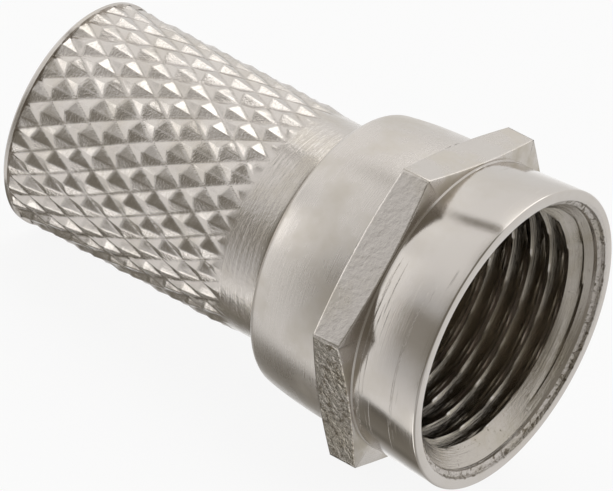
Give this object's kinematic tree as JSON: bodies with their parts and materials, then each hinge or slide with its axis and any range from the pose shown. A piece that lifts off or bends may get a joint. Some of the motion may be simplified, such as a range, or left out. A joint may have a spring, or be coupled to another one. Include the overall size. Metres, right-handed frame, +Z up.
{
  "type": "coaxial f connector",
  "caption": "Twist-on coaxial F connector: hexagon coupling nut with a fine internal thread, free to spin on a diamond-knurled cable barrel.",
  "frame": {"origin": "centre of the base of the bounding box, on the surface that the connector lies on", "axes": "+X along the connector towards the nut's mouth, +Z up; the connector's own axis rises towards the mouth by its resting tilt of about 5 degrees"},
  "size_m": [0.0196, 0.0128, 0.0114],
  "materials": {
    "barrel_nickel": "knurled, satin nickel plate",
    "sleeve_nickel": "dull nickel plate",
    "nut_nickel": "polished and brushed nickel plate"
  },
  "bodies": {
    "connector_body": {"knurled_barrel": "barrel_nickel", "contact_sleeve": "sleeve_nickel"},
    "nut": {"coupling_nut": "nut_nickel"}
  },
  "joints": [
    {"name": "nut_spin", "type": "hinge", "parent": "connector_body", "child": "nut", "pos_m": [0.00587, 0, 0.00554], "axis": [0.9962, 0, 0.0868], "continuous": true}
  ]
}
